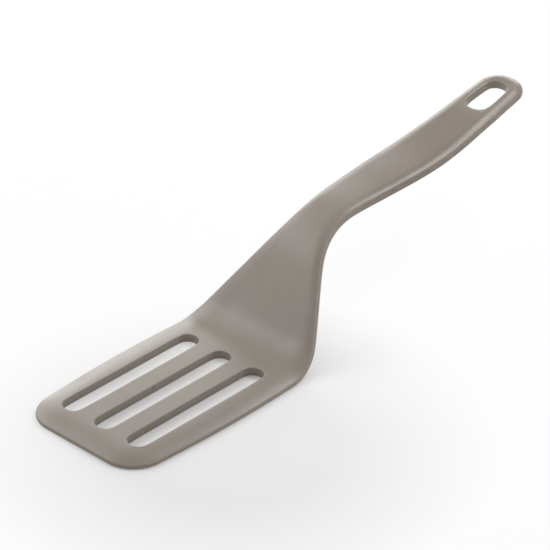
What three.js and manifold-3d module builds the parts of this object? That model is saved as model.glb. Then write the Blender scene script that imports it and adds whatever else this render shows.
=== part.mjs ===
import * as THREE from 'three';
import Module from 'manifold-3d';

// Slotted turner with a hanging hole: a stiff core between two halves of a soft skin.
// Millimetres, +Z up, +X across the blade, +Y from the front edge to the hanging end.
// The blade lies flat on z = 0 and the origin is under the middle of the tool.

// Fit between any two pieces
const bondGap = 0.3;

// Side profile of the underside, from the front edge to the hanging end. Slopes are in degrees.
const bladeFlat = 108;
const heelRadius = 28.1;
const neckSlope = 52.1;
const neckStraight = 32.1;
const shoulderRadius = 46.3;
const gripSlope = 2.95;
const gripStraight = 48.5;
const gripBowRadius = 217;
const endSlope = 11.9;
const endStraight = 53.6;

// Outline: half-widths where the straight runs of the edge would meet, how far each meeting is blended,
// and where it lies: from the front edge, the heel, the shoulder and the bow of the grip in turn
const frontHalf = 36.7;
const bladeHalf = 41;
const bladeBlend = 37.8;
const bladeWidestAt = 68;
const heelHalf = 38.5;
const heelBlend = 13.1;
const heelCornerAt = 15.1;
const neckHalf = 10.8;
const neckBlend = 15.3;
const neckCornerAt = 18.7;
const gripHalf = 15.65;
const gripBlend = 22.5;
const gripWidestAt = 6.3;
const endHalf = 12.3;
const frontCorner = 17.5;
const endCorner = 11.2;

// Sections. Parting is the height of the line where the skins meet, crown the rise of the top above the rim,
// margin and power the width and the curve of its fall to the rim, arch a further rise to the middle line,
// band the width of skin outside the core.
const bladeSection = { parting: 1.3, crown: 2.35, margin: 12, power: 2, arch: 0, band: 7 };
const neckSection = { parting: 1.9, crown: 1.3, margin: 6.5, power: 4, arch: 0, band: 6.4 };
const gripSection = { parting: 2.8, crown: 1.2, margin: 5.5, power: 4, arch: 0.5, band: 5.5 };
const endSection = { parting: 1.9, crown: 2.6, margin: 5.5, power: 2.5, arch: 0, band: 5.5 };
const lip = 0.8;
const lipRound = 0.5;
const underRound = 0.5;
const floorSkin = 0.8;
const roofSkin = 1.2;
const frontMargin = 13;
const endMargin = 5.5;

// Slots through the blade. Band is the width of skin round a slot, coreStrip the core's width
// beyond the outer slots.
const slotWidth = 11.3;
const slotLength = 89.4;
const slotStart = 14;
const slotBand = 2.4;
const slotRim = 0.4;
const coreStrip = 0.94;

// Hanging hole, slightly narrower at its far end
const holeLength = 24.2;
const holeEndWall = 8.6;
const holeNearHalf = 7;
const holeFarHalf = 6.5;
const holeNearCorner = 6.6;
const holeFarCorner = 6.2;
const holeRim = 0.6;
const holeUnderRim = 1.4;

// Core
const coreFrontCorner = 11;
const coreEndCorner = 4;
const coreHoleWall = 4;
const coreChamfer = 0.4;

// A cutting body runs this far past the faces that it cuts
const cutOver = 1;

// How finely curves are divided, how far apart sections stay beside a corner,
// where the arch has its columns, as shares of its half-width, and the largest share of the half-width
// that the margin takes where the tool narrows to its ends
const stationStep = 12;
const turnStep = 6.5;
const cornerSteps = 9;
const crownSteps = 7;
const arcSteps = 8;
const sectionClear = 1;
const archColumns = [0.6, 0.2];
const marginShare = 0.8;

const wasm = await Module();
wasm.setup();
const { lerp, smoothstep, clamp, degToRad } = THREE.MathUtils;

// Distances along the underside where the side profile changes
const heelArc = heelRadius * degToRad(neckSlope);
const shoulderArc = shoulderRadius * degToRad(neckSlope - gripSlope);
const gripBow = gripBowRadius * degToRad(endSlope - gripSlope);
const neckStart = bladeFlat + heelArc;
const shoulderStart = neckStart + neckStraight;
const gripStart = shoulderStart + shoulderArc;
const bowStart = gripStart + gripStraight;
const endStart = bowStart + gripBow;
const toolLength = endStart + endStraight;

const sideProfile = [
  { length: bladeFlat, turn: 0 },
  { length: heelArc, turn: degToRad(neckSlope) },
  { length: neckStraight, turn: 0 },
  { length: shoulderArc, turn: -degToRad(neckSlope - gripSlope) },
  { length: gripStraight, turn: 0 },
  { length: gripBow, turn: degToRad(endSlope - gripSlope) },
  { length: endStraight, turn: 0 },
];

const outline = [
  { along: 0, half: frontHalf, blend: 0 },
  { along: bladeWidestAt, half: bladeHalf, blend: bladeBlend },
  { along: bladeFlat + heelCornerAt, half: heelHalf, blend: heelBlend },
  { along: shoulderStart + neckCornerAt, half: neckHalf, blend: neckBlend },
  { along: bowStart + gripWidestAt, half: gripHalf, blend: gripBlend },
  { along: toolLength, half: endHalf, blend: 0 },
];

// Point and direction of the underside at a distance along it
function spineAt(along) {
  let y = 0;
  let z = 0;
  let slope = 0;
  let start = 0;
  for (const piece of sideProfile) {
    const run = Math.min(along - start, piece.length);
    const turned = (piece.turn * run) / piece.length;
    const chord = turned === 0 ? run : (2 * Math.sin(turned / 2) * piece.length) / piece.turn;
    y += chord * Math.cos(slope + turned / 2);
    z += chord * Math.sin(slope + turned / 2);
    slope += turned;
    start += piece.length;
    if (along <= start) break;
  }
  return { y, z, slope };
}

const middle = spineAt(toolLength).y / 2;

function place(x, along, height) {
  const spine = spineAt(along);
  const y = spine.y - height * Math.sin(spine.slope) - middle;
  return [x, y, spine.z + height * Math.cos(spine.slope)];
}

// Zero before a meeting of two straight runs, rising straight after it, with a smooth change between
function softRamp(distance, blend) {
  if (distance <= -blend) return 0;
  if (distance >= blend) return distance;
  return (distance + blend) ** 2 / (4 * blend);
}

function sideHalf(along) {
  let half = outline[0].half;
  let before = 0;
  for (let k = 0; k + 1 < outline.length; k += 1) {
    const from = outline[k];
    const to = outline[k + 1];
    const slope = (to.half - from.half) / (to.along - from.along);
    half += (slope - before) * softRamp(along - from.along, from.blend);
    before = slope;
  }
  return half;
}

// How much a rounded corner takes off the half-width at a distance from the end it rounds
function cornerLoss(distance, radius) {
  if (distance >= radius) return 0;
  return radius - Math.sqrt(radius ** 2 - (radius - Math.max(distance, 0)) ** 2);
}

function outerHalf(along) {
  return sideHalf(along) - cornerLoss(along, frontCorner) - cornerLoss(toolLength - along, endCorner);
}

const sections = [
  { from: bladeFlat, shape: bladeSection },
  { from: neckStart + neckStraight / 2, shape: neckSection },
  { from: gripStart, shape: gripSection },
  { from: toolLength, shape: endSection },
];

function sectionAt(along) {
  const section = { ...bladeSection };
  for (let k = 0; k + 1 < sections.length; k += 1) {
    const share = smoothstep(along, sections[k].from, sections[k + 1].from);
    for (const key of Object.keys(section)) {
      section[key] = lerp(section[key], sections[k + 1].shape[key], share);
    }
  }
  return section;
}

// Distances along the tool where a section is drawn, closer together in corners and bends
function stations(start, finish, frontRadius, endRadius) {
  const marks = [];
  for (let k = 0; k <= cornerSteps; k += 1) {
    const sweep = 1 - Math.cos(((k / cornerSteps) * Math.PI) / 2);
    marks.push(start + frontRadius * sweep, finish - endRadius * sweep);
  }
  let from = 0;
  for (const piece of sideProfile) {
    const turns = Math.abs(piece.turn) / degToRad(turnStep);
    const steps = Math.ceil(Math.max(turns, piece.length / stationStep));
    for (let k = 0; k < steps; k += 1) {
      const along = from + (piece.length * k) / steps;
      const clearOfFront = along > start + frontRadius + sectionClear;
      const clearOfEnd = along < finish - endRadius - sectionClear;
      if (clearOfFront && clearOfEnd) marks.push(along);
    }
    from += piece.length;
  }
  return marks.sort((a, b) => a - b);
}

function solid(points, faces) {
  const vertProperties = new Float32Array(points.flat());
  const triVerts = new Uint32Array(faces.flat());
  return new wasm.Manifold(new wasm.Mesh({ numProp: 3, vertProperties, triVerts }));
}

// Body drawn through sections, each a row of columns { x, low, high } from left to right
function loft(alongs, columnsAt) {
  const points = [];
  const faces = [];
  let count = 0;
  for (const along of alongs) {
    const columns = columnsAt(along);
    count = columns.length;
    for (const column of columns) points.push(place(column.x, along, column.low));
    for (const column of columns.slice().reverse()) points.push(place(column.x, along, column.high));
  }
  const ring = 2 * count;
  for (let row = 0; row + 1 < alongs.length; row += 1) {
    for (let k = 0; k < ring; k += 1) {
      const near = row * ring + k;
      const nearNext = row * ring + ((k + 1) % ring);
      faces.push([near, near + ring, nearNext + ring]);
      faces.push([near, nearNext + ring, nearNext]);
    }
  }
  const last = (alongs.length - 1) * ring;
  for (let k = 0; k + 1 < count; k += 1) {
    const highNext = ring - 2 - k;
    const high = ring - 1 - k;
    faces.push([k, k + 1, highNext], [k, highNext, high]);
    faces.push([last + k, last + highNext, last + k + 1], [last + k, last + high, last + highNext]);
  }
  return solid(points, faces);
}

// Upright body drawn through levels { height, grow } of one outline
function prism(outlineAt, levels) {
  const points = [];
  const faces = [];
  for (const level of levels) {
    for (const point of outlineAt(level.grow)) points.push(place(point.x, point.along, level.height));
  }
  const count = points.length / levels.length;
  for (let row = 0; row + 1 < levels.length; row += 1) {
    for (let k = 0; k < count; k += 1) {
      const below = row * count + k;
      const belowNext = row * count + ((k + 1) % count);
      faces.push([below, belowNext, belowNext + count], [below, belowNext + count, below + count]);
    }
  }
  const top = (levels.length - 1) * count;
  for (let k = 1; k + 1 < count; k += 1) {
    faces.push([0, k + 1, k], [top, top + k, top + k + 1]);
  }
  return solid(points, faces);
}

// Outline through rounded corners { x, along, radius }, one quarter turn each
function roundedOutline(corners, grow) {
  const points = [];
  corners.forEach((corner, quarter) => {
    for (let k = 0; k <= arcSteps; k += 1) {
      const turn = ((quarter + k / arcSteps) * Math.PI) / 2;
      const reach = corner.radius + grow;
      points.push({ x: corner.x + reach * Math.cos(turn), along: corner.along + reach * Math.sin(turn) });
    }
  });
  return points;
}

// Straight walls, flared by a rim at the underside and at the top
function flaredLevels(top, underRim, rim) {
  return [
    { height: -cutOver, grow: underRim + cutOver },
    { height: underRim, grow: 0 },
    { height: top - rim, grow: 0 },
    { height: top + cutOver, grow: rim + cutOver },
  ];
}

function slotOutline(x, grow) {
  const radius = slotWidth / 2;
  const near = slotStart + radius;
  const far = slotStart + slotLength - radius;
  const reach = radius + grow;
  const points = [];
  for (let k = 0; k <= 2 * arcSteps; k += 1) {
    const turn = (k / (2 * arcSteps)) * Math.PI;
    points.push({ x: x + reach * Math.cos(turn), along: far + reach * Math.sin(turn) });
  }
  for (let k = 0; k <= 2 * arcSteps; k += 1) {
    const turn = (1 + k / (2 * arcSteps)) * Math.PI;
    points.push({ x: x + reach * Math.cos(turn), along: near + reach * Math.sin(turn) });
  }
  return points;
}

// The outer slots lie as far out as the skin at the edge, the core's strip and the skin round a slot allow
// at the narrower end of the slots
const slotSideHalf = Math.min(sideHalf(slotStart), sideHalf(slotStart + slotLength));
const slotPitch = slotSideHalf - bladeSection.band - coreStrip - slotBand - slotWidth / 2;

function slots(levels) {
  return [-slotPitch, 0, slotPitch].map((x) => prism((grow) => slotOutline(x, grow), levels));
}

const holeEnd = toolLength - holeEndWall;
const holeStart = holeEnd - holeLength;

function holeOutline(grow) {
  const farSide = holeFarHalf - holeFarCorner;
  const nearSide = holeNearHalf - holeNearCorner;
  const far = holeEnd - holeFarCorner;
  const near = holeStart + holeNearCorner;
  const corners = [
    { x: farSide, along: far, radius: holeFarCorner },
    { x: -farSide, along: far, radius: holeFarCorner },
    { x: -nearSide, along: near, radius: holeNearCorner },
    { x: nearSide, along: near, radius: holeNearCorner },
  ];
  return roundedOutline(corners, grow);
}

// Height of the crowned top above the rim: level in the middle, falling over the margin to every edge
function crownAt(section, along, edge) {
  const front = clamp((frontMargin - along) / frontMargin, 0, 1);
  const end = clamp((endMargin - (toolLength - along)) / endMargin, 0, 1);
  return section.crown * (1 - Math.min(1, edge ** section.power + front ** 2 + end ** 2));
}

function mirrored(columns) {
  const left = columns.map((column) => ({ ...column, x: -column.x }));
  return [...left, ...columns.slice().reverse()];
}

function upperColumns(along) {
  const section = sectionAt(along);
  const half = outerHalf(along);
  const low = section.parting + bondGap / 2;
  const shelf = half - lipRound;
  const margin = Math.min(section.margin, marginShare * shelf);
  const columns = [{ x: half, low, high: section.parting + lip - lipRound / 2 }];
  const addColumn = (x, edge) => {
    const rise = crownAt(section, along, edge) + section.arch * (1 - (x / shelf) ** 2);
    columns.push({ x, low, high: section.parting + lip + rise });
  };
  for (let k = 0; k <= crownSteps; k += 1) {
    const edge = 1 - k / crownSteps;
    addColumn(shelf - margin * (1 - edge), edge);
  }
  for (const share of archColumns) addColumn((shelf - margin) * share, 0);
  return mirrored(columns);
}

function lowerColumns(along) {
  const half = outerHalf(along);
  const high = sectionAt(along).parting - bondGap / 2;
  return mirrored([
    { x: half, low: underRound, high },
    { x: half - underRound, low: 0, high },
  ]);
}

const coreStart = bladeSection.band;
const coreFinish = holeStart - coreHoleWall;

// The core, grown on every side by a clearance
function coreBody(grow) {
  const start = coreStart - grow;
  const finish = coreFinish + grow;
  const frontRadius = coreFrontCorner + grow;
  const endRadius = coreEndCorner + grow;
  const columnsAt = (along) => {
    const section = sectionAt(along);
    const corners = cornerLoss(along - start, frontRadius) + cornerLoss(finish - along, endRadius);
    const half = sideHalf(along) - section.band + grow - corners;
    const low = floorSkin + bondGap - grow;
    const high = section.parting + lip + section.crown - roofSkin - bondGap + grow;
    return mirrored([
      { x: half, low: low + coreChamfer, high: high - coreChamfer },
      { x: half - coreChamfer, low, high },
    ]);
  };
  const body = loft(stations(start, finish, frontRadius, endRadius), columnsAt);
  const levels = [
    { height: -cutOver, grow: slotBand - grow },
    { height: bladeTop + cutOver, grow: slotBand - grow },
  ];
  return slots(levels).reduce((cut, slot) => cut.subtract(slot), body);
}

function mesh(name, body, colour, roughness) {
  const made = body.getMesh();
  const geometry = new THREE.BufferGeometry();
  geometry.setAttribute('position', new THREE.BufferAttribute(new Float32Array(made.vertProperties), 3));
  geometry.setIndex(new THREE.BufferAttribute(new Uint32Array(made.triVerts), 1));
  geometry.computeVertexNormals();
  const material = new THREE.MeshStandardMaterial({ color: colour, roughness, metalness: 0 });
  const piece = new THREE.Mesh(geometry, material);
  piece.name = name;
  return piece;
}

const bladeTop = bladeSection.parting + lip + bladeSection.crown;
const holeSection = sectionAt((holeStart + holeEnd) / 2);
const holeTop = holeSection.parting + lip + holeSection.crown;
const openings = slots(flaredLevels(bladeTop, slotRim, slotRim));
openings.push(prism(holeOutline, flaredLevels(holeTop, holeUnderRim, holeRim)));
const pocket = coreBody(bondGap);

function openSkin(columnsAt) {
  const whole = loft(stations(0, toolLength, frontCorner, endCorner), columnsAt);
  return openings.reduce((cut, opening) => cut.subtract(opening), whole.subtract(pocket));
}

const spatula = new THREE.Group();
spatula.name = 'spatula';
spatula.add(mesh('upper_skin', openSkin(upperColumns), 0x938b84, 0.62));
spatula.add(mesh('lower_skin', openSkin(lowerColumns), 0x8c847d, 0.62));
spatula.add(mesh('stiffener_core', coreBody(0), 0x4a4744, 0.5));

export default spatula;
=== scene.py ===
import math

import bmesh
import bpy
from mathutils import Matrix, Vector


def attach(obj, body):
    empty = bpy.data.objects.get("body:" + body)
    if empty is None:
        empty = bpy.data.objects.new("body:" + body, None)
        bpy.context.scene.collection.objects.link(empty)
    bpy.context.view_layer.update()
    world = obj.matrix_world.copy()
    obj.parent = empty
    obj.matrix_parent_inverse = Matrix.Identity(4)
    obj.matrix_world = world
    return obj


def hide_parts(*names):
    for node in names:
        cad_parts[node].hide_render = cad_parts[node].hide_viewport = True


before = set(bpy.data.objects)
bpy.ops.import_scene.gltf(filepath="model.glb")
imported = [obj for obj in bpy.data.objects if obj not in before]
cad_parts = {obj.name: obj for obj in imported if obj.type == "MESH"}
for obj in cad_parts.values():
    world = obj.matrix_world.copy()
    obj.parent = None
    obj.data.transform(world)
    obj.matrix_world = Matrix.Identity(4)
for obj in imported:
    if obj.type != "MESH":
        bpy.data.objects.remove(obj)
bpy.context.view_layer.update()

# The tool is drawn flat in millimetres: x across, along from the front edge on the underside, and
# height above the underside. Placing a point bends it to the side profile and turns it to metres.
MM = 0.001

# Side profile of the underside: straight runs, radii of the bends and slopes in degrees
BLADE_FLAT = 108.0
HEEL_RADIUS = 28.1
NECK_SLOPE = 52.1
NECK_STRAIGHT = 32.1
SHOULDER_RADIUS = 46.3
GRIP_SLOPE = 2.95
GRIP_STRAIGHT = 48.5
GRIP_BOW_RADIUS = 217.0
END_SLOPE = 11.9
END_STRAIGHT = 53.6

HEEL_ARC = HEEL_RADIUS * math.radians(NECK_SLOPE)
SHOULDER_ARC = SHOULDER_RADIUS * math.radians(NECK_SLOPE - GRIP_SLOPE)
GRIP_BOW = GRIP_BOW_RADIUS * math.radians(END_SLOPE - GRIP_SLOPE)
NECK_START = BLADE_FLAT + HEEL_ARC
SHOULDER_START = NECK_START + NECK_STRAIGHT
GRIP_START = SHOULDER_START + SHOULDER_ARC
BOW_START = GRIP_START + GRIP_STRAIGHT
END_START = BOW_START + GRIP_BOW
TOOL_LENGTH = END_START + END_STRAIGHT

# Length of each run and how far it turns
SIDE_PROFILE = [
    (BLADE_FLAT, 0.0),
    (HEEL_ARC, NECK_SLOPE),
    (NECK_STRAIGHT, 0.0),
    (SHOULDER_ARC, GRIP_SLOPE - NECK_SLOPE),
    (GRIP_STRAIGHT, 0.0),
    (GRIP_BOW, END_SLOPE - GRIP_SLOPE),
    (END_STRAIGHT, 0.0),
]

# Outline: along, half-width and blend where the straight runs of the edge would meet
OUTLINE = [
    (0.0, 36.7, 0.0),
    (68.0, 41.0, 37.8),
    (BLADE_FLAT + 15.1, 38.5, 13.1),
    (SHOULDER_START + 18.7, 10.8, 15.3),
    (BOW_START + 6.3, 15.65, 22.5),
    (TOOL_LENGTH, 12.3, 0.0),
]
FRONT_CORNER = 17.5
END_CORNER = 11.2

# Sections: place along, height of the parting line, rise of the crown, width and power of its fall
# to the rim, further rise of the arch to the middle line, width of skin outside the core
SECTIONS = [
    (BLADE_FLAT, 1.3, 2.35, 12.0, 2.0, 0.0, 7.0),
    (NECK_START + NECK_STRAIGHT / 2, 1.9, 1.3, 6.5, 4.0, 0.0, 6.4),
    (GRIP_START, 2.8, 1.2, 5.5, 4.0, 0.5, 5.5),
    (TOOL_LENGTH, 1.9, 2.5, 5.5, 2.5, 0.0, 5.5),
]

# Skins: height of the upper rim above the parting line, its step inwards, the gap at the parting
# line, and the thickness of skin under and over the core
LIP = 0.8
LEDGE = 0.1
SEAM = 0.06
FLOOR_SKIN = 0.8
ROOF_SKIN = 1.2

# Pocket for the core: skin round a slot, wall before the hole, clearance round the core, and slack
# by which a point on the pocket's edge or end still counts as inside
SLOT_BAND = 2.4
CORE_FINISH_WALL = 4.0
POCKET_CLEAR = 0.3
POCKET_EDGE_SLACK = 0.01
POCKET_END_SLACK = 1.0

# Slots, and the distance of the first column or row of the cage beyond their edge
SLOT_PITCH = 21.595
SLOT_HALF = 5.65
SLOT_START = 14.0
SLOT_LENGTH = 89.4
SLOT_WALL = 2.25
SLOT_END = SLOT_START + SLOT_LENGTH
SLOT_NEAR = SLOT_START + SLOT_HALF
SLOT_FAR = SLOT_END - SLOT_HALF
BEYOND_SLOT = SLOT_END + SLOT_WALL

# Hanging hole, and the dip of the top that rolls into it
HOLE_END_WALL = 8.6
HOLE_LENGTH = 24.2
HOLE_END = TOOL_LENGTH - HOLE_END_WALL
HOLE_START = HOLE_END - HOLE_LENGTH
HOLE_NEAR_HALF = 7.0
HOLE_NEAR_CORNER = 6.6
HOLE_FAR_HALF = 6.5
HOLE_FAR_CORNER = 6.2
HOLE_NEAR = HOLE_START + HOLE_NEAR_CORNER
HOLE_FAR = HOLE_END - HOLE_FAR_CORNER
HOLE_DIP = 0.3
HOLE_DIP_WIDTH = 4.5
CORE_FINISH = HOLE_START - CORE_FINISH_WALL

# Rounding of edges, and levels of smoothing
SLOT_RIM = 0.8
HOLE_RIM = 0.8
LIP_ROUND = 0.6
UNDER_RIM = 0.4
HOLE_UNDER_RIM = 1.2
UNDER_ROUND = 0.5
WALL_ROUND = 0.1
ROUND_SEGMENTS = 2
ROUND_PROFILE = 0.5
SMOOTHING = 2


def mix(a, b, share):
    return a + (b - a) * share


def clamp(value, low=0.0, high=1.0):
    return min(max(value, low), high)


def smoothstep(value, low, high):
    share = clamp((value - low) / (high - low))
    return share * share * (3 - 2 * share)


def spine_at(along):
    """Point and slope of the underside at a distance along it."""
    y = z = slope = start = 0.0
    for length, turn in SIDE_PROFILE:
        run = min(along - start, length)
        turned = math.radians(turn) * run / length
        chord = run * math.sin(turned / 2) / (turned / 2) if turned else run
        y += chord * math.cos(slope + turned / 2)
        z += chord * math.sin(slope + turned / 2)
        slope += turned
        start += length
        if along <= start:
            break
    return y, z, slope


MIDDLE = spine_at(TOOL_LENGTH)[0] / 2


def place(x, along, height):
    """Point of the flat layout on the bent tool, in metres."""
    y, z, slope = spine_at(along)
    bent_y = y - height * math.sin(slope) - MIDDLE
    return Vector((x, bent_y, z + height * math.cos(slope))) * MM


def soft_ramp(distance, blend):
    """Zero before a meeting point and the distance after it, with a smooth bend between."""
    if distance <= -blend:
        return 0.0
    if distance >= blend:
        return distance
    return (distance + blend) ** 2 / (4 * blend)


def side_half(along):
    """Half-width of the tool."""
    half = OUTLINE[0][1]
    before = 0.0
    for (start, start_half, blend), (finish, finish_half, _) in zip(OUTLINE, OUTLINE[1:]):
        slope = (finish_half - start_half) / (finish - start)
        half += (slope - before) * soft_ramp(along - start, blend)
        before = slope
    return half


def to_grip(along):
    return smoothstep(along, BLADE_FLAT, GRIP_START)


def section_at(along):
    """Values of the section at a place along the tool, without the place itself."""
    section = SECTIONS[0][1:]
    for (start, *_), (finish, *values) in zip(SECTIONS, SECTIONS[1:]):
        share = smoothstep(along, start, finish)
        section = [mix(a, b, share) for a, b in zip(section, values)]
    return section


def depth_inside(x, along):
    """Distance from the tool's outline, inwards."""
    half = side_half(along)
    depth = min(half - abs(x), along, TOOL_LENGTH - along)
    for radius, reach in ((FRONT_CORNER, along), (END_CORNER, TOOL_LENGTH - along)):
        across = abs(x) - (half - radius)
        if reach < radius and across > 0:
            depth = radius - math.hypot(across, radius - reach)
    return depth


def hole_distance(x, along):
    """Distance from the hanging hole's edge, outwards."""
    share = clamp((along - HOLE_NEAR) / (HOLE_FAR - HOLE_NEAR))
    half = mix(HOLE_NEAR_HALF, HOLE_FAR_HALF, share)
    if HOLE_NEAR <= along <= HOLE_FAR:
        return abs(x) - half
    radius = HOLE_NEAR_CORNER if along < HOLE_NEAR else HOLE_FAR_CORNER
    beyond = max(HOLE_NEAR - along, along - HOLE_FAR)
    return math.hypot(max(abs(x) - (half - radius), 0.0), beyond) - radius


def top_height(x, along):
    """Height of the crowned top, which rolls down to the rim and to the hanging hole."""
    parting, crown, margin, power, arch, _ = section_at(along)
    half = side_half(along)
    fall = clamp(1 - (depth_inside(x, along) - LEDGE) / min(margin, half))
    dip = clamp(1 - hole_distance(x, along) / HOLE_DIP_WIDTH)
    rise = crown * (1 - fall ** power) + arch * (1 - (x / half) ** 2)
    return parting + LIP + rise - HOLE_DIP * dip * dip


def slot_distance(x, along):
    """Distance from the nearest slot's edge, outwards."""
    beyond = max(SLOT_NEAR - along, along - SLOT_FAR, 0.0)
    centres = (-SLOT_PITCH, 0.0, SLOT_PITCH)
    return min(math.hypot(x - centre, beyond) for centre in centres) - SLOT_HALF


def in_pocket(x, along):
    """Whether a point lies in the pocket for the core."""
    band = section_at(along)[-1] - POCKET_CLEAR - POCKET_EDGE_SLACK
    before_hole = along < CORE_FINISH + POCKET_CLEAR + POCKET_END_SLACK
    clear_of_slots = slot_distance(x, along) > SLOT_BAND - POCKET_CLEAR
    return depth_inside(x, along) > band and before_hole and clear_of_slots


# The flat layout: columns counted from the rim to the middle line, rows from the front edge to the
# end. The first columns, and the rings that run round the corners, lie at these depths inside the
# outline.
RINGS = 5
BLADE_DEPTHS = (0.0, 0.7, 3.4, 6.7)
GRIP_DEPTHS = (0.0, 0.7, 2.8, 5.2)
HOLE_DEPTHS = (0.0, 0.7, 2.2, 3.8)
FRONT_RINGS = (*BLADE_DEPTHS, 11.5)
END_RINGS = (*HOLE_DEPTHS, 5.3)
DIAGONAL = 45
SQUARE = 90

# Cells across a slot and across the bar between two slots, and the columns that they give
SLOT_CELLS = 4
BAR_CELLS = 3
EDGE = RINGS
OUTER_SLOT_CENTRE = EDGE + SLOT_CELLS // 2
OUTER_SLOT_FAR = EDGE + SLOT_CELLS
MIDDLE_SLOT_EDGE = OUTER_SLOT_FAR + BAR_CELLS
MIDDLE_SLOT_FAR = MIDDLE_SLOT_EDGE + SLOT_CELLS
CENTRE = MIDDLE_SLOT_EDGE + SLOT_CELLS // 2
COLUMNS = 2 * CENTRE

SLOT_COLUMNS = [
    SLOT_PITCH + SLOT_HALF + SLOT_WALL,
    SLOT_PITCH + SLOT_HALF,
    SLOT_PITCH + SLOT_HALF / 2,
    SLOT_PITCH,
    SLOT_PITCH - SLOT_HALF / 2,
    SLOT_PITCH - SLOT_HALF,
    SLOT_PITCH - SLOT_HALF - SLOT_WALL,
    SLOT_HALF + SLOT_WALL,
    SLOT_HALF,
    SLOT_HALF / 2,
    0.0,
]

# On the handle the columns spread over this share of its half-width, and at the hole the first of
# them stands this far outside its edge
HOLE_COLUMN_SHARE = 0.555
HOLE_WALL = 0.9


def steps(start, finish, count):
    return [mix(start, finish, k / count) for k in range(1, count + 1)]


# Rows: number of steps along each stretch, the first row of the heel after the blade, and the row
# that closes the pocket
SLOT_STEPS = 5
HEEL_STEPS = 6
NECK_STEPS = 3
SHOULDER_STEPS = 6
GRIP_STEPS = 4
BOW_STEPS = 3
END_STEPS = 2
HOLE_STEPS = 3
HEEL_ROW = BLADE_FLAT + 1.5
POCKET_WALL_ROW = CORE_FINISH + 2.2

BODY_ROWS = [
    SLOT_START,
    SLOT_NEAR,
    *steps(SLOT_NEAR, SLOT_FAR, SLOT_STEPS),
    SLOT_END,
    BEYOND_SLOT,
    HEEL_ROW,
    *steps(HEEL_ROW, NECK_START, HEEL_STEPS),
    *steps(NECK_START, SHOULDER_START, NECK_STEPS),
    *steps(SHOULDER_START, GRIP_START, SHOULDER_STEPS),
    *steps(GRIP_START, BOW_START, GRIP_STEPS),
    *steps(BOW_START, END_START, BOW_STEPS),
    *steps(END_START, CORE_FINISH + POCKET_CLEAR, END_STEPS),
    POCKET_WALL_ROW,
    HOLE_START,
    HOLE_NEAR,
    *steps(HOLE_NEAR, HOLE_FAR, HOLE_STEPS),
    HOLE_END,
]
ROW_ALONGS = [*FRONT_RINGS, *BODY_ROWS, *(TOOL_LENGTH - depth for depth in reversed(END_RINGS))]
LAST_ROW = len(ROW_ALONGS) - 1
NEAR_CAP_ROW = RINGS
FAR_CAP_ROW = ROW_ALONGS.index(SLOT_END)
HOLE_NEAR_ROW = ROW_ALONGS.index(HOLE_START)
HOLE_FAR_ROW = ROW_ALONGS.index(HOLE_END)

# Rounded ends of slots and hole: a smoothed loop shrinks inside its control points, so they are
# drawn a little wide. Points beside an end follow this share of its reach.
CAP_SWELL = 1.04
CAP_FIRST_ANGLE = math.radians(30)
BESIDE_CAP = 0.5


def cap_point(half, radius, share):
    """Point on a rounded end, from near the straight side (share 0) to the middle line (share 1)."""
    arc = radius * (math.pi / 2 - CAP_FIRST_ANGLE)
    flat = half - radius
    run = share * (arc + flat)
    if run >= arc:
        return arc + flat - run, radius
    angle = CAP_FIRST_ANGLE + run / radius
    swell = mix(1.0, CAP_SWELL, math.cos(angle))
    return flat + radius * CAP_SWELL * math.cos(angle), radius * swell * math.sin(angle)


def plain_x(column, along):
    """Place of a column across the tool, away from corners and rounded ends."""
    half = side_half(along)
    grip = to_grip(along)
    near_hole = smoothstep(along, CORE_FINISH, HOLE_START)
    if column < RINGS - 1:
        plain_depth = mix(BLADE_DEPTHS[column], GRIP_DEPTHS[column], grip)
        return half - mix(plain_depth, HOLE_DEPTHS[column], near_hole)
    hole_half = mix(HOLE_NEAR_HALF, HOLE_FAR_HALF, smoothstep(along, HOLE_NEAR, HOLE_FAR))
    blade_x = SLOT_COLUMNS[column - RINGS + 1]
    wide_share = blade_x / SLOT_COLUMNS[1]
    if along > BLADE_FLAT:
        blade_x *= min(1.0, half / side_half(BEYOND_SLOT))
    hole_x = hole_half * min(wide_share, 1.0) + (HOLE_WALL if column == RINGS - 1 else 0.0)
    grip_x = half * HOLE_COLUMN_SHARE * wide_share
    return mix(mix(blade_x, grip_x, grip), hole_x, near_hole)


def corner_point(column, row, corner, half, last_column, last_row, depths):
    """Point of the rings that run round a corner: rows from the end, columns from the rim."""
    ring = min(column, row)
    radius = corner - depths[ring]
    if column == ring:
        angle = DIAGONAL * (last_row - row) / (last_row - ring)
    else:
        angle = SQUARE - DIAGONAL * (last_column - column) / (last_column - ring)
    turn = math.radians(angle)
    return half - corner + radius * math.cos(turn), corner - radius * math.sin(turn)


def slot_cap_point(column, row):
    """Point of the row that runs round the slots' near or far ends."""
    near = row == NEAR_CAP_ROW
    toward = -1 if near else 1
    centre_along = SLOT_NEAR if near else SLOT_FAR
    slots = ((SLOT_PITCH, EDGE, OUTER_SLOT_FAR), (0.0, MIDDLE_SLOT_EDGE, MIDDLE_SLOT_FAR))
    for centre, first, last in slots:
        if first <= column <= last:
            middle = (first + last) / 2
            share = 1 - abs(column - middle) / ((last - first) / 2)
            offset, reach = cap_point(SLOT_HALF, SLOT_HALF, share)
            side = 1 if column <= middle else -1
            return centre + side * offset, centre_along + toward * reach
    return plain_x(column, ROW_ALONGS[row]), centre_along + toward * SLOT_HALF * BESIDE_CAP


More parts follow.
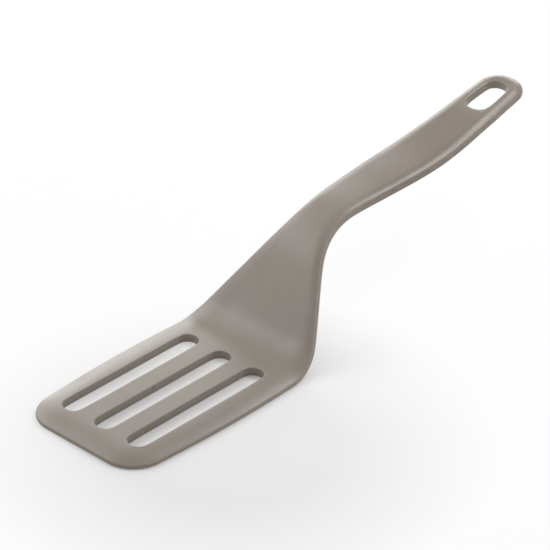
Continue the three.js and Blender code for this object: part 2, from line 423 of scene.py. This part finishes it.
def hole_cap_point(column, row):
    """Point of the row that runs round the hanging hole's near or far end."""
    near = row == HOLE_NEAR_ROW
    half, radius = (HOLE_NEAR_HALF, HOLE_NEAR_CORNER) if near else (HOLE_FAR_HALF, HOLE_FAR_CORNER)
    toward = -1 if near else 1
    centre_along = HOLE_NEAR if near else HOLE_FAR
    if column >= EDGE:
        offset, reach = cap_point(half, radius, (column - EDGE) / (CENTRE - EDGE))
        return offset, centre_along + toward * reach
    return plain_x(column, ROW_ALONGS[row]), centre_along + toward * radius * BESIDE_CAP


def flat_point(column, row):
    """Place of a cage point with x at or right of the middle line."""
    along = ROW_ALONGS[row]
    from_end = LAST_ROW - row
    if row < RINGS or (row == RINGS and column < RINGS):
        half = side_half(FRONT_CORNER)
        if column <= OUTER_SLOT_CENTRE:
            return corner_point(
                column, row, FRONT_CORNER, half, OUTER_SLOT_CENTRE, RINGS, FRONT_RINGS,
            )
        return SLOT_COLUMNS[column - RINGS + 1] * (half - FRONT_CORNER) / SLOT_PITCH, along
    if from_end < RINGS or (from_end == RINGS and column < RINGS):
        half = side_half(TOOL_LENGTH - END_CORNER)
        if column < CENTRE:
            x, reach = corner_point(
                column, from_end, END_CORNER, half, CENTRE - 1, RINGS, END_RINGS,
            )
            return x, TOOL_LENGTH - reach
        return 0.0, along
    if row in (NEAR_CAP_ROW, FAR_CAP_ROW):
        return slot_cap_point(column, row)
    if row in (HOLE_NEAR_ROW, HOLE_FAR_ROW):
        return hole_cap_point(column, row)
    return plain_x(column, along), along


def opening_cell(column, row):
    """Whether the cell between this column and row and the next lies in a slot or the hole."""
    from_rim = min(column, COLUMNS - 1 - column)
    if NEAR_CAP_ROW <= row < FAR_CAP_ROW:
        return EDGE <= from_rim < OUTER_SLOT_FAR or from_rim >= MIDDLE_SLOT_EDGE
    if HOLE_NEAR_ROW <= row < HOLE_FAR_ROW:
        return from_rim >= EDGE
    return False


# Layers of the cage: how sharp an edge stays, and how close a point is to a rim
CREASE = "crease_edge"
RIM = "rim"

# Depth of the loops that are drawn in, step for finding which way is inwards, how far from its edge
# an opening's own edges are looked for, and the width over which the rims' rubbed, paler colour and
# painted highlight fade
DRAWN_DEPTH = 1.0
SLOPE_STEP = 0.05
NEAR_OPENING = 0.5
NEAR_HOLE_END = 1.0
RIM_WEAR_SHEEN_WIDTH = 1.2


def flat_sheet(inset):
    """Flat sheet of the tool's outline with its openings, in millimetres."""
    bm = bmesh.new()
    bm.edges.layers.float.new(CREASE)
    bm.verts.layers.float.new(RIM)
    bmesh.ops.create_grid(bm, x_segments=COLUMNS, y_segments=LAST_ROW, size=1)
    cell = {}
    for vert in bm.verts:
        column = round((vert.co.x + 1) / 2 * COLUMNS)
        row = round((vert.co.y + 1) / 2 * LAST_ROW)
        cell[vert] = (column, row)
    closed = []
    for face in bm.faces:
        column = min(cell[v][0] for v in face.verts)
        row = min(cell[v][1] for v in face.verts)
        if opening_cell(column, row):
            closed.append(face)
    for vert, (column, row) in cell.items():
        from_rim = min(column, COLUMNS - column)
        x, along = flat_point(from_rim, row)
        side = -1 if column < CENTRE else 1
        vert.co = Vector((side * x, along, 0.0))
    bmesh.ops.delete(bm, geom=closed, context="FACES")
    draw_in_rim(bm, inset)
    return bm


def draw_in_rim(bm, inset):
    """Moves the two outermost loops inwards, so that the piece stops short of the tool's outline."""
    if not inset:
        return
    for vert in bm.verts:
        x, along = vert.co.x, vert.co.y
        if depth_inside(x, along) < DRAWN_DEPTH:
            slope = Vector((
                depth_inside(x + SLOPE_STEP, along) - depth_inside(x - SLOPE_STEP, along),
                depth_inside(x, along + SLOPE_STEP) - depth_inside(x, along - SLOPE_STEP),
                0.0,
            ))
            vert.co += slope.normalized() * inset


def thicken(bm, low, high):
    """Gives the sheet its lower and upper heights, and returns the upper points."""
    sheet = bm.faces[:] + bm.edges[:] + bm.verts[:]
    made = bmesh.ops.extrude_face_region(bm, geom=sheet, use_keep_orig=True)
    upper = {v for v in made["geom"] if isinstance(v, bmesh.types.BMVert)}
    for vert in bm.verts:
        x, along = vert.co.x, vert.co.y
        vert.co.z = high(x, along) if vert in upper else low(x, along)
    bmesh.ops.recalc_face_normals(bm, faces=bm.faces[:])
    return upper


def rim_edges(bm, upper, level):
    """Edges between a level face and a wall, by what they run round: rim, slot or hole."""
    found = {"rim": [], "slot": [], "hole": []}
    for edge in bm.edges:
        if any((v in upper) != (level == "upper") for v in edge.verts):
            continue
        walls = sum(1 for face in edge.link_faces if len({v in upper for v in face.verts}) > 1)
        if walls != 1:
            continue
        x, along = (edge.verts[0].co + edge.verts[1].co).xy / 2
        beside_hole = HOLE_START - NEAR_HOLE_END < along < HOLE_END + NEAR_HOLE_END
        if beside_hole and abs(x) < HOLE_NEAR_HALF + NEAR_OPENING:
            found["hole"].append(edge)
        elif slot_distance(x, along) < NEAR_OPENING:
            found["slot"].append(edge)
        else:
            found["rim"].append(edge)
    return found


def crease(bm, edges):
    sharpness = bm.edges.layers.float[CREASE]
    for edge in edges:
        edge[sharpness] = 1.0
        edge.smooth = False


def round_edges(bm, edges, size):
    bmesh.ops.bevel(
        bm,
        geom=edges,
        offset=size,
        offset_type="OFFSET",
        segments=ROUND_SEGMENTS,
        profile=ROUND_PROFILE,
        affect="EDGES",
        material=-1,
        clamp_overlap=True,
    )


def finish_skin(bm, name, material):
    """Bends the flat cage to the side profile and makes it a smooth piece."""
    rim = bm.verts.layers.float[RIM]
    for vert in bm.verts:
        x, along, height = vert.co
        to_opening = min(abs(slot_distance(x, along)), abs(hole_distance(x, along)))
        near = min(depth_inside(x, along), to_opening)
        # Closeness to a rim or opening, which carries the rims' rubbed, paler colour and painted
        # highlight
        vert[rim] = math.exp(-max(near, 0.0) / RIM_WEAR_SHEEN_WIDTH)
        vert.co = place(x, along, height)
    for face in bm.faces:
        face.smooth = True
    mesh = bpy.data.meshes.new(name)
    bm.to_mesh(mesh)
    bm.free()
    piece = bpy.data.objects.new(name, mesh)
    bpy.context.scene.collection.objects.link(piece)
    mesh.materials.append(material)
    smooth = piece.modifiers.new("smooth", "SUBSURF")
    smooth.levels = SMOOTHING
    smooth.render_levels = SMOOTHING
    return piece


def upper_skin(material):
    bm = flat_sheet(LEDGE)

    def low(x, along):
        if in_pocket(x, along):
            return top_height(x, along) - ROOF_SKIN
        return section_at(along)[0] + SEAM / 2

    upper = thicken(bm, low, top_height)
    top = rim_edges(bm, upper, "upper")
    seam = rim_edges(bm, upper, "lower")
    crease(bm, seam["rim"] + seam["slot"] + seam["hole"])
    round_edges(bm, top["slot"], SLOT_RIM)
    round_edges(bm, top["hole"], HOLE_RIM)
    round_edges(bm, top["rim"], LIP_ROUND)
    return finish_skin(bm, "upper_skin_moulding", material)


def lower_skin(material):
    bm = flat_sheet(0.0)

    def high(x, along):
        if in_pocket(x, along):
            return FLOOR_SKIN
        return section_at(along)[0] - SEAM / 2

    upper = thicken(bm, lambda x, along: 0.0, high)
    seam = rim_edges(bm, upper, "upper")
    under = rim_edges(bm, upper, "lower")
    crease(bm, seam["slot"] + seam["hole"])
    round_edges(bm, seam["rim"], WALL_ROUND)
    round_edges(bm, under["slot"], UNDER_RIM)
    round_edges(bm, under["hole"], HOLE_UNDER_RIM)
    round_edges(bm, under["rim"], UNDER_ROUND)
    return finish_skin(bm, "lower_skin_moulding", material)


# Colours of the skins and of the core's fibre-filled plastic
TAUPE = (0.254, 0.216, 0.177)
TAUPE_DEEP = (0.227, 0.193, 0.159)
# Paler colour for rims and edges: partly rubbed, partly painted highlight along the rims
TAUPE_RIM_WEAR_SHEEN = (0.270, 0.232, 0.195)
# Darker, browner tone laid over the handle
TAUPE_HANDLE_TONE = (0.144, 0.111, 0.080)
TAUPE_SOLE = (0.238, 0.203, 0.168)
FIBRE_DARK = (0.055, 0.050, 0.046)
FIBRE_PALE = (0.105, 0.098, 0.090)

# Finish of the skins: roughness and its spread, gloss, how much rubbing polishes the rims, and how
# strongly the top and the sole get paler rubbed rims with a painted highlight
SKIN_ROUGHNESS = 0.36
ROUGHNESS_SPREAD = 0.05
SKIN_SPECULAR = 0.7
WEAR_POLISH = 0.12
TOP_WEAR_AND_SHEEN = 0.5
SOLE_WEAR_AND_SHEEN = 0.4

# The handle's darker, browner tone along y, in metres: where it begins, is full, starts to fade and
# stops fading, and the share that is left at the end
HANDLE_TONE_FROM = 0.012
HANDLE_TONE_TO = 0.05
HANDLE_TONE_FADE_FROM = 0.085
HANDLE_TONE_FADE_TO = 0.14
HANDLE_TONE_AT_END = 0.6

# Noises by scale per metre, detail and roughness, and how a pattern is scaled along each axis
GRAIN_SCALE = 1500.0
GRAIN_NOISE = {"detail": 3.0, "roughness": 0.6}
PIT_SHARE = 0.5
MOTTLE_SCALE = 28.0
MOTTLE_NOISE = {"detail": 4.0, "roughness": 0.55}
FLOW_NOISE = {"scale": 60.0, "detail": 3.0, "roughness": 0.6}
FLOW_STRETCH = (3.0, 0.7, 0.7)
RIM_WEAR_SHEEN_NOISE = {"scale": 140.0, "detail": 4.0, "roughness": 0.6}
STREAK_NOISE = {"scale": 260.0, "detail": 4.0, "roughness": 0.65}
STREAK_STRETCH = (6.0, 1.0, 3.0)
FLECK_NOISE = {"detail": 2.0, "roughness": 0.5}
FIBRE_LENGTH = 6.0
FLECK_PER_LENGTH = 150.0

# Ranges of a noise, low and high, and the low and high that they become
MOTTLE_RANGE = (0.3, 0.7, 0.0, 1.0)
FLOW_LIMITS = (0.3, 0.7)
RIM_WEAR_SHEEN_RANGE = (0.35, 0.7, 0.35, 1.0)
STREAK_RANGE = (0.35, 0.7, 0.0, 1.0)
FLECK_ROUGHNESS = (0.3, 0.7, 0.38, 0.6)

# Bump: strength and distance in metres
GRAIN_BUMP = (0.12, 0.0002)
FLECK_BUMP = (0.2, 0.0002)

# Sockets of a colour mix node
MIX_FACTOR = 0
MIX_FIRST = 6
MIX_SECOND = 7
MIX_RESULT = 2


def link(tree, source, target):
    tree.links.new(source, target)


def new_group(name, inputs, outputs):
    """Shader node group with named value inputs and outputs."""
    tree = bpy.data.node_groups.new(name, "ShaderNodeTree")
    for socket_name, default in inputs:
        socket = tree.interface.new_socket(
            socket_name, in_out="INPUT", socket_type="NodeSocketFloat",
        )
        socket.default_value = default
    for socket_name in outputs:
        tree.interface.new_socket(socket_name, in_out="OUTPUT", socket_type="NodeSocketFloat")
    return tree, tree.nodes.new("NodeGroupInput"), tree.nodes.new("NodeGroupOutput")


def object_place(tree):
    """Place on the object, in metres."""
    return tree.nodes.new("ShaderNodeTexCoord").outputs["Object"]


def noise(tree, vector, scale, detail, roughness):
    node = tree.nodes.new("ShaderNodeTexNoise")
    node.inputs["Detail"].default_value = detail
    node.inputs["Roughness"].default_value = roughness
    if isinstance(scale, (int, float)):
        node.inputs["Scale"].default_value = scale
    else:
        link(tree, scale, node.inputs["Scale"])
    link(tree, vector, node.inputs["Vector"])
    return node.outputs["Fac"]


def stretch(tree, vector, scale):
    node = tree.nodes.new("ShaderNodeMapping")
    node.inputs["Scale"].default_value = scale
    link(tree, vector, node.inputs["Vector"])
    return node.outputs["Vector"]


def to_range(tree, value, from_low, from_high, to_low, to_high):
    node = tree.nodes.new("ShaderNodeMapRange")
    node.inputs["From Min"].default_value = from_low
    node.inputs["From Max"].default_value = from_high
    node.inputs["To Min"].default_value = to_low
    node.inputs["To Max"].default_value = to_high
    link(tree, value, node.inputs["Value"])
    return node.outputs["Result"]


def maths(tree, operation, first, second):
    node = tree.nodes.new("ShaderNodeMath")
    node.operation = operation
    for socket, value in zip(node.inputs, (first, second)):
        if isinstance(value, (int, float)):
            socket.default_value = value
        else:
            link(tree, value, socket)
    return node.outputs["Value"]


def moulded_texture_group():
    """Fine spark-eroded grain of the mould, slow mottling of the colour and soft flow marks."""
    inputs = (("Grain Scale", GRAIN_SCALE), ("Mottle Scale", MOTTLE_SCALE))
    tree, given, result = new_group("moulded_texture", inputs, ("Grain", "Mottle", "Flow"))
    where = object_place(tree)
    fine = noise(tree, where, given.outputs["Grain Scale"], **GRAIN_NOISE)
    pits = tree.nodes.new("ShaderNodeTexVoronoi")
    link(tree, where, pits.inputs["Vector"])
    link(tree, given.outputs["Grain Scale"], pits.inputs["Scale"])
    grain = maths(tree, "MULTIPLY", pits.outputs["Distance"], PIT_SHARE)
    link(tree, maths(tree, "ADD", fine, grain), result.inputs["Grain"])
    mottle = noise(tree, where, given.outputs["Mottle Scale"], **MOTTLE_NOISE)
    link(tree, mottle, result.inputs["Mottle"])
    flow = noise(tree, stretch(tree, where, FLOW_STRETCH), **FLOW_NOISE)
    link(tree, flow, result.inputs["Flow"])
    return tree


def rim_wear_and_sheen_group():
    """Rims and edges polished and paled by rubbing; the paler colour is partly rubbing and partly
    painted highlight.
    """
    tree, given, result = new_group("rim_wear_and_sheen", (("Amount", 1.0),), ("Wear And Sheen",))
    rim = tree.nodes.new("ShaderNodeAttribute")
    rim.attribute_name = RIM
    patchy = to_range(tree, noise(tree, object_place(tree), **RIM_WEAR_SHEEN_NOISE), *RIM_WEAR_SHEEN_RANGE)
    rim_wear_sheen = maths(tree, "MULTIPLY", rim.outputs["Fac"], patchy)
    link(tree, maths(tree, "MULTIPLY", rim_wear_sheen, given.outputs["Amount"]), result.inputs["Wear And Sheen"])
    return tree


def fibre_streak_group():
    """Short fibres that show as streaks in filled plastic."""
    inputs = (("Length", FIBRE_LENGTH),)
    tree, given, result = new_group("fibre_streak", inputs, ("Streak", "Fleck"))
    where = object_place(tree)
    streak = noise(tree, stretch(tree, where, STREAK_STRETCH), **STREAK_NOISE)
    fleck_scale = maths(tree, "MULTIPLY", given.outputs["Length"], FLECK_PER_LENGTH)
    fleck = noise(tree, where, fleck_scale, **FLECK_NOISE)
    link(tree, streak, result.inputs["Streak"])
    link(tree, fleck, result.inputs["Fleck"])
    return tree


def place_group(tree, group, **values):
    node = tree.nodes.new("ShaderNodeGroup")
    node.node_tree = group
    for name, value in values.items():
        node.inputs[name.replace("_", " ").title()].default_value = value
    return node


def colour_mix(tree, share, first, second):
    node = tree.nodes.new("ShaderNodeMix")
    node.data_type = "RGBA"
    for index, value in ((MIX_FIRST, first), (MIX_SECOND, second)):
        if isinstance(value, tuple):
            node.inputs[index].default_value = (*value, 1.0)
        else:
            link(tree, value, node.inputs[index])
    link(tree, share, node.inputs[MIX_FACTOR])
    return node.outputs[MIX_RESULT]


def bump(tree, height, strength, distance):
    node = tree.nodes.new("ShaderNodeBump")
    node.inputs["Strength"].default_value = strength
    node.inputs["Distance"].default_value = distance
    link(tree, height, node.inputs["Height"])
    return node.outputs["Normal"]


def new_material(name):
    material = bpy.data.materials.new(name)
    material.use_nodes = True
    return material, material.node_tree, material.node_tree.nodes["Principled BSDF"]


def handle_tone_share(tree):
    """How far the handle's deeper tone has taken over at a place along the tool."""
    where = tree.nodes.new("ShaderNodeSeparateXYZ")
    link(tree, object_place(tree), where.inputs[0])
    along = where.outputs["Y"]
    begins = to_range(tree, along, HANDLE_TONE_FROM, HANDLE_TONE_TO, 0.0, 1.0)
    fades = to_range(tree, along, HANDLE_TONE_FADE_FROM, HANDLE_TONE_FADE_TO, 1.0, HANDLE_TONE_AT_END)
    return maths(tree, "MULTIPLY", begins, fades)


def satin_skin(name, texture, edge, base, edge_amount):
    material, tree, shader = new_material(name)
    moulded = place_group(tree, texture, grain_scale=GRAIN_SCALE, mottle_scale=MOTTLE_SCALE)
    worn_and_sheen = place_group(tree, edge, amount=edge_amount)
    mottle = to_range(tree, moulded.outputs["Mottle"], *MOTTLE_RANGE)
    colour = colour_mix(tree, mottle, base, TAUPE_DEEP)
    # The handle from the shoulder on is darker and browner, fading back part way toward the end
    colour = colour_mix(tree, handle_tone_share(tree), colour, TAUPE_HANDLE_TONE)
    # Rims and edges paled: partly rubbed, partly painted highlight
    colour = colour_mix(tree, worn_and_sheen.outputs["Wear And Sheen"], colour, TAUPE_RIM_WEAR_SHEEN)
    link(tree, colour, shader.inputs["Base Color"])
    smoothest = SKIN_ROUGHNESS - ROUGHNESS_SPREAD
    roughest = SKIN_ROUGHNESS + ROUGHNESS_SPREAD
    rough = to_range(tree, moulded.outputs["Flow"], *FLOW_LIMITS, smoothest, roughest)
    polish = maths(tree, "MULTIPLY", worn_and_sheen.outputs["Wear And Sheen"], WEAR_POLISH)
    link(tree, maths(tree, "SUBTRACT", rough, polish), shader.inputs["Roughness"])
    link(tree, bump(tree, moulded.outputs["Grain"], *GRAIN_BUMP), shader.inputs["Normal"])
    shader.inputs["Specular IOR Level"].default_value = SKIN_SPECULAR
    return material


def fibre_filled_plastic(streaks):
    material, tree, shader = new_material("fibre_filled_plastic")
    fibre = place_group(tree, streaks, length=FIBRE_LENGTH)
    share = to_range(tree, fibre.outputs["Streak"], *STREAK_RANGE)
    link(tree, colour_mix(tree, share, FIBRE_DARK, FIBRE_PALE), shader.inputs["Base Color"])
    rough = to_range(tree, fibre.outputs["Fleck"], *FLECK_ROUGHNESS)
    link(tree, rough, shader.inputs["Roughness"])
    link(tree, bump(tree, fibre.outputs["Fleck"], *FLECK_BUMP), shader.inputs["Normal"])
    return material


# Floor in metres, and the level of light from around. The floor is lifted to white round the tool's
# shadow: distances from the centre where the lift starts and stops growing, and its share at each.
FLOOR_HALF = 6.0
FLOOR_GAP = 0.0001
FLOOR_WHITE = (0.92, 0.92, 0.92)
FLOOR_LIFT_CENTRE = (0.045, -0.105, 0.0)
FLOOR_LIFT = (0.055, 0.13, 0.05, 0.9)
WORLD_LEVEL = 0.46

# Softboxes: direction from the origin, distance and sides in metres, power in watts
SOFTBOXES = {
    "front_left_softbox": (Vector((-0.70, -0.29, 0.65)), 0.95, (0.9, 0.5), 3.1),
    "back_left_softbox": (Vector((-0.60, 0.68, 0.28)), 0.95, (0.9, 0.45), 3.0),
    "left_fill": (Vector((-0.95, 0.12, 0.28)), 1.0, (0.8, 0.5), 1.0),
    "back_right_softbox": (Vector((0.08, 0.25, 0.37)), 0.45, (0.24, 0.15), 0.6),
    "right_fill": (Vector((0.90, 0.35, 0.26)), 1.0, (0.8, 0.5), 1.2),
}

# Camera: picture and focal length in pixels, angles in degrees, sensor, distance and target in
# millimetres, far limit of sight in metres
IMAGE_SIZE = 550.0
FOCAL_PIXELS = 3184.1
SENSOR = 36.0
CAMERA_AZIMUTH = 41.716
CAMERA_ELEVATION = 31.273
CAMERA_ROLL = 1.269
CAMERA_DISTANCE = 1563.84
CAMERA_TARGET = Vector((-4.315, -17.688, 30.106))
FAR_LIMIT = 50.0


def seen_ray(tree):
    """One for a ray that shows the surroundings: from the camera, through glass or off a gloss."""
    path = tree.nodes.new("ShaderNodeLightPath").outputs
    through = maths(tree, "MAXIMUM", path["Is Camera Ray"], path["Is Transmission Ray"])
    return maths(tree, "MAXIMUM", through, path["Is Glossy Ray"])


def white_floor():
    """White floor that keeps the shadow near the blade and is lifted to white further out."""
    material, tree, shader = new_material("floor_white")
    shader.inputs["Base Color"].default_value = (*FLOOR_WHITE, 1.0)
    shader.inputs["Roughness"].default_value = 1.0
    shader.inputs["Specular IOR Level"].default_value = 0.0
    glow = tree.nodes.new("ShaderNodeEmission")
    blend = tree.nodes.new("ShaderNodeMixShader")
    reach = tree.nodes.new("ShaderNodeVectorMath")
    reach.operation = "DISTANCE"
    link(tree, object_place(tree), reach.inputs[0])
    reach.inputs[1].default_value = FLOOR_LIFT_CENTRE
    lift = to_range(tree, reach.outputs["Value"], *FLOOR_LIFT)
    link(tree, maths(tree, "MULTIPLY", seen_ray(tree), lift), blend.inputs[0])
    link(tree, shader.outputs[0], blend.inputs[1])
    link(tree, glow.outputs[0], blend.inputs[2])
    link(tree, blend.outputs[0], tree.nodes["Material Output"].inputs["Surface"])
    bm = bmesh.new()
    bmesh.ops.create_grid(bm, x_segments=1, y_segments=1, size=FLOOR_HALF)
    bmesh.ops.translate(bm, verts=bm.verts[:], vec=(0.0, 0.0, -FLOOR_GAP))
    mesh = bpy.data.meshes.new("floor")
    bm.to_mesh(mesh)
    bm.free()
    floor = bpy.data.objects.new("floor", mesh)
    mesh.materials.append(material)
    bpy.context.scene.collection.objects.link(floor)


def white_world():
    """White to the camera and to reflections, and a plain level of light to everything else."""
    world = bpy.data.worlds.new("studio")
    bpy.context.scene.world = world
    world.use_nodes = True
    tree = world.node_tree
    background = tree.nodes["Background"]
    background.inputs["Color"].default_value = (1.0, 1.0, 1.0, 1.0)
    level = to_range(tree, seen_ray(tree), 0.0, 1.0, WORLD_LEVEL, 1.0)
    link(tree, level, background.inputs["Strength"])


def softbox(name, direction, distance, size, power):
    lamp = bpy.data.lights.new(name, "AREA")
    lamp.shape = "RECTANGLE"
    lamp.size, lamp.size_y = size
    lamp.energy = power
    box = bpy.data.objects.new(name, lamp)
    box.location = direction.normalized() * distance
    box.rotation_euler = direction.to_track_quat("Z", "Y").to_euler()
    bpy.context.scene.collection.objects.link(box)


def photo_camera():
    azimuth = math.radians(CAMERA_AZIMUTH)
    elevation = math.radians(CAMERA_ELEVATION)
    back = Vector((
        math.sin(azimuth) * math.cos(elevation),
        -math.cos(azimuth) * math.cos(elevation),
        math.sin(elevation),
    ))
    right = Vector((math.cos(azimuth), math.sin(azimuth), 0.0))
    up = back.cross(right)
    turn = math.radians(CAMERA_ROLL)
    rolled_right = right * math.cos(turn) + up * math.sin(turn)
    rolled_up = up * math.cos(turn) - right * math.sin(turn)
    lens = bpy.data.cameras.new("photo_camera")
    lens.sensor_width = SENSOR
    lens.lens = FOCAL_PIXELS / IMAGE_SIZE * SENSOR
    lens.clip_end = FAR_LIMIT
    camera = bpy.data.objects.new("photo_camera", lens)
    facing = Matrix((rolled_right, rolled_up, back)).transposed().to_4x4()
    place_of_camera = (CAMERA_TARGET + back * CAMERA_DISTANCE) * MM
    camera.matrix_world = Matrix.Translation(place_of_camera) @ facing
    bpy.context.scene.collection.objects.link(camera)
    bpy.context.scene.camera = camera


photo_camera()
for name, setting in SOFTBOXES.items():
    softbox(name, *setting)
white_world()
white_floor()
bpy.context.scene.view_settings.view_transform = "Standard"

texture_group = moulded_texture_group()
edge_group = rim_wear_and_sheen_group()
streak_group = fibre_streak_group()
top_finish = satin_skin("taupe_skin", texture_group, edge_group, TAUPE, TOP_WEAR_AND_SHEEN)
sole_finish = satin_skin("taupe_sole", texture_group, edge_group, TAUPE_SOLE, SOLE_WEAR_AND_SHEEN)
core_finish = fibre_filled_plastic(streak_group)

skins = ((upper_skin, top_finish, "upper_skin"), (lower_skin, sole_finish, "lower_skin"))
for make, material, node in skins:
    skin = make(material)
    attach(skin, "root")
    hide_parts(node)

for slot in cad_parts["stiffener_core"].material_slots:
    slot.material = core_finish
